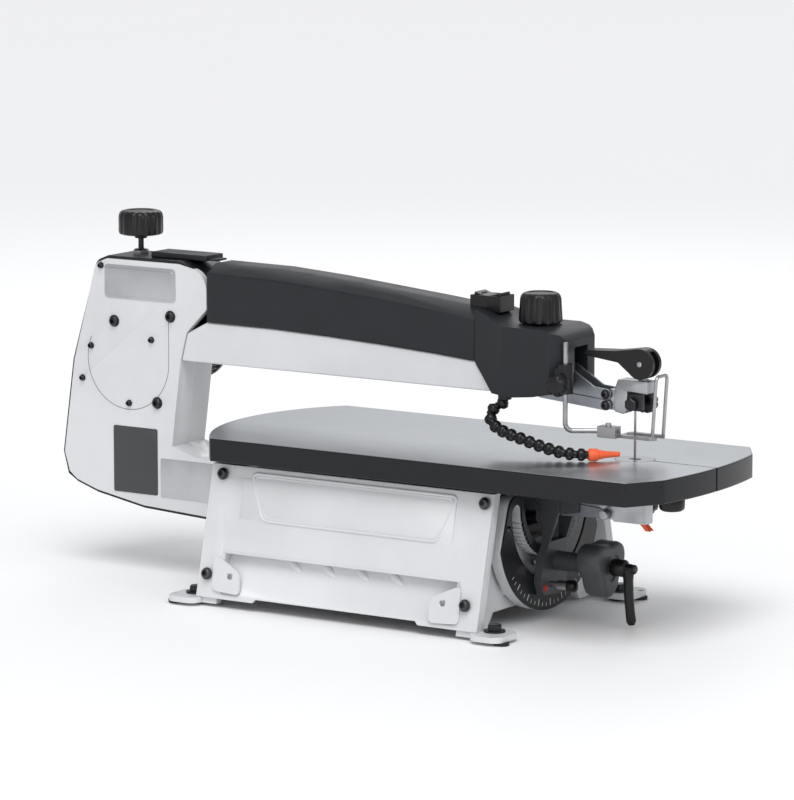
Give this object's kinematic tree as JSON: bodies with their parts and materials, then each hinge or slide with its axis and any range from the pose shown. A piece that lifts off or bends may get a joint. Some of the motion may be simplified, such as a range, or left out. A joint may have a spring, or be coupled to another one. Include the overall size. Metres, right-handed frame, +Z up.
{
  "type": "scroll saw",
  "caption": "bench-top parallel-arm scroll saw with a tilting C-shaped saw frame, fixed rounded table, quick-lift blade clamp, hold-down foot and jointed air hose",
  "frame": {"origin": "centre of the four bench holes, on the bench", "axes": "+X from the column to the blade (front of the saw), +Y to the motor side, +Z up"},
  "size_m": [0.805, 0.304, 0.3886],
  "materials": {
    "white_enamel": "satin enamel",
    "black_enamel": "satin enamel",
    "charcoal_shell": "fine-grained moulding",
    "black_knob": "moulded",
    "table_metal": "brushed and waxed",
    "insert_metal": "satin",
    "plain_steel": "ground",
    "zinc_steel": "zinc plated",
    "cast_grey": "painted dark grey",
    "black_screw": "black oxide",
    "plated_screw": "zinc plated",
    "pad_rubber": "matt",
    "hose_black": "moulded beads",
    "nozzle_orange": "moulded",
    "blank_plate": "blank label"
  },
  "bodies": {
    "base": {"base_front_casting": "white_enamel", "base_rear_casting": "white_enamel", "left_side_panel": "white_enamel", "right_side_panel": "white_enamel", "base_screws": "plated_screw", "foot_pads": "pad_rubber", "foot_bolts": "black_screw", "table_top": "table_metal", "table_insert": "insert_metal", "table_seats": "black_enamel", "tilt_quadrant": "white_enamel", "tilt_scale_plate": "black_enamel", "rear_trunnion_rail": "cast_grey"},
    "edge_knob": {"table_edge_knob": "black_knob"},
    "saw_frame": {"frame_core": "black_enamel", "left_column_cover": "white_enamel", "right_column_cover": "white_enamel", "column_screws": "black_screw", "upper_arm_casting": "white_enamel", "upper_arm_cover": "charcoal_shell", "head_housing": "charcoal_shell", "pivot_shafts": "plain_steel", "lower_arm_casting": "cast_grey", "tilt_bracket": "cast_grey", "tilt_clamp_stud": "plain_steel", "tilt_stop_pin": "plain_steel", "motor": "black_enamel", "switch_housing": "black_knob", "arm_latch": "charcoal_shell", "hold_down_guide": "black_knob", "hose_socket": "black_knob", "column_plates": "blank_plate", "cord_gland": "black_knob"},
    "upper_top_link": {"upper_top_link": "zinc_steel"},
    "upper_bottom_link": {"upper_bottom_link": "zinc_steel"},
    "lower_top_link": {"lower_top_link": "zinc_steel"},
    "lower_bottom_link": {"lower_bottom_link": "zinc_steel"},
    "upper_clamp": {"upper_clamp_body": "insert_metal", "saw_blade": "plain_steel"},
    "lower_clamp": {"lower_clamp_body": "insert_metal", "lower_release_tab": "nozzle_orange"},
    "upper_blade_knob": {"upper_blade_knob": "black_knob"},
    "lower_blade_knob": {"lower_blade_knob": "black_knob"},
    "cam_lever": {"cam_lever": "black_knob"},
    "speed_knob": {"speed_knob": "black_knob"},
    "power_switch": {"power_switch": "black_knob"},
    "tension_knob": {"tension_knob": "black_knob"},
    "hold_down": {"hold_down_rod": "plain_steel", "hold_down_foot": "plain_steel", "blade_guard": "plain_steel"},
    "hold_down_knob": {"hold_down_knob": "black_knob"},
    "tilt_knob": {"tilt_knob": "cast_grey"},
    "lock_lever": {"lock_lever": "black_knob"},
    "motor_eccentric": {"motor_eccentric": "plain_steel"},
    "drive_rocker": {"drive_rocker": "cast_grey"},
    "upper_push_rod": {"upper_push_rod": "plain_steel"},
    "lower_push_rod": {"lower_push_rod": "plain_steel"},
    "air_hose": {"air_hose": "hose_black", "hose_nozzle": "nozzle_orange"}
  },
  "joints": [
    {"name": "arm_tilt", "type": "hinge", "parent": "base", "child": "saw_frame", "pos_m": [0, 0, 0.175], "axis": [1, 0, 0], "range_deg": [-30, 30], "deforming": ["air_hose", "hose_nozzle"]},
    {"name": "upper_link_swing", "type": "hinge", "parent": "saw_frame", "child": "upper_bottom_link", "pos_m": [0.1669, 0, 0.2352], "axis": [0, 1, 0], "range_deg": [-6.8, 6.8]},
    {"name": "upper_top_link_swing", "type": "hinge", "parent": "saw_frame", "child": "upper_top_link", "pos_m": [0.1669, 0, 0.2465], "axis": [0, 1, 0], "range_deg": [-7, 7]},
    {"name": "lower_top_link_swing", "type": "hinge", "parent": "saw_frame", "child": "lower_top_link", "pos_m": [0.1669, 0, 0.1346], "axis": [0, 1, 0], "range_deg": [-7, 7]},
    {"name": "lower_bottom_link_swing", "type": "hinge", "parent": "saw_frame", "child": "lower_bottom_link", "pos_m": [0.1669, 0, 0.1233], "axis": [0, 1, 0], "range_deg": [-7, 7]},
    {"name": "upper_clamp_pin", "type": "hinge", "parent": "upper_bottom_link", "child": "upper_clamp", "pos_m": [0.2432, 0, 0.2286], "axis": [0, 1, 0], "range_deg": [-7, 7]},
    {"name": "lower_clamp_pin", "type": "hinge", "parent": "lower_bottom_link", "child": "lower_clamp", "pos_m": [0.2432, 0, 0.1167], "axis": [0, 1, 0], "range_deg": [-7, 7]},
    {"name": "rocker_swing", "type": "hinge", "parent": "saw_frame", "child": "drive_rocker", "pos_m": [-0.298, 0, 0.17204], "axis": [0, 1, 0], "range_deg": [-2, 2]},
    {"name": "upper_rod_stroke", "type": "slide", "parent": "saw_frame", "child": "upper_push_rod", "axis": [1, 0, 0], "range_m": [-0.0035, 0.0035]},
    {"name": "lower_rod_stroke", "type": "slide", "parent": "saw_frame", "child": "lower_push_rod", "axis": [1, 0, 0], "range_m": [-0.0024, 0.0024]},
    {"name": "motor_spin", "type": "hinge", "parent": "saw_frame", "child": "motor_eccentric", "pos_m": [-0.338, 0, 0.235], "axis": [0, 1, 0], "continuous": true},
    {"name": "cam_lever_lift", "type": "hinge", "parent": "upper_clamp", "child": "cam_lever", "pos_m": [0.281, 0, 0.273], "axis": [0, 1, 0], "range_deg": [0, 90]},
    {"name": "upper_blade_knob_turn", "type": "hinge", "parent": "upper_clamp", "child": "upper_blade_knob", "pos_m": [0.272, 0, 0.23], "axis": [0, 1, 0], "range_deg": [0, 180]},
    {"name": "lower_blade_knob_turn", "type": "hinge", "parent": "lower_clamp", "child": "lower_blade_knob", "pos_m": [0.272, 0, 0.125], "axis": [0, 1, 0], "range_deg": [0, 180]},
    {"name": "speed_knob_turn", "type": "hinge", "parent": "saw_frame", "child": "speed_knob", "pos_m": [0.16, 0, 0.305], "axis": [0, 0, 1], "range_deg": [0, 270]},
    {"name": "power_switch_rock", "type": "hinge", "parent": "saw_frame", "child": "power_switch", "pos_m": [0.102, 0, 0.3266], "axis": [0, 1, 0], "range_deg": [-8, 8]},
    {"name": "tension_knob_turn", "type": "hinge", "parent": "saw_frame", "child": "tension_knob", "pos_m": [-0.3416, 0, 0.36], "axis": [0, 0, 1], "range_deg": [-180, 180]},
    {"name": "hold_down_height", "type": "slide", "parent": "saw_frame", "child": "hold_down", "axis": [0, 0, 1], "range_m": [-0.009, 0.002]},
    {"name": "hold_down_knob_turn", "type": "hinge", "parent": "saw_frame", "child": "hold_down_knob", "pos_m": [0.21, -0.047, 0.251], "axis": [0, 1, 0], "range_deg": [0, 180]},
    {"name": "tilt_knob_turn", "type": "hinge", "parent": "saw_frame", "child": "tilt_knob", "pos_m": [0.233, 0, 0.0615], "axis": [1, 0, 0], "range_deg": [0, 180]},
    {"name": "lock_lever_swing", "type": "hinge", "parent": "saw_frame", "child": "lock_lever", "pos_m": [0.258, 0, 0.0615], "axis": [1, 0, 0], "range_deg": [-90, 90]},
    {"name": "edge_knob_turn", "type": "hinge", "parent": "base", "child": "edge_knob", "pos_m": [0.34, -0.044, 0.14], "axis": [0, 0, 1], "range_deg": [0, 180]},
    {"name": "hose_swivel", "type": "hinge", "parent": "saw_frame", "child": "air_hose", "pos_m": [0.136, -0.03, 0.2286], "axis": [0, 0, 1], "range_deg": [-70, 0]}
  ],
  "couplings": [
    {"joint": "upper_top_link_swing", "follows": "upper_link_swing", "ratio": 1},
    {"joint": "lower_top_link_swing", "follows": "upper_link_swing", "ratio": 1},
    {"joint": "lower_bottom_link_swing", "follows": "upper_link_swing", "ratio": 1},
    {"joint": "upper_clamp_pin", "follows": "upper_link_swing", "ratio": -1},
    {"joint": "lower_clamp_pin", "follows": "upper_link_swing", "ratio": -1},
    {"joint": "rocker_swing", "follows": "upper_link_swing", "ratio": 0.26971},
    {"joint": "upper_rod_stroke", "follows": "upper_link_swing", "m_per_rad": 0.0275},
    {"joint": "lower_rod_stroke", "follows": "upper_link_swing", "m_per_rad": -0.018}
  ]
}
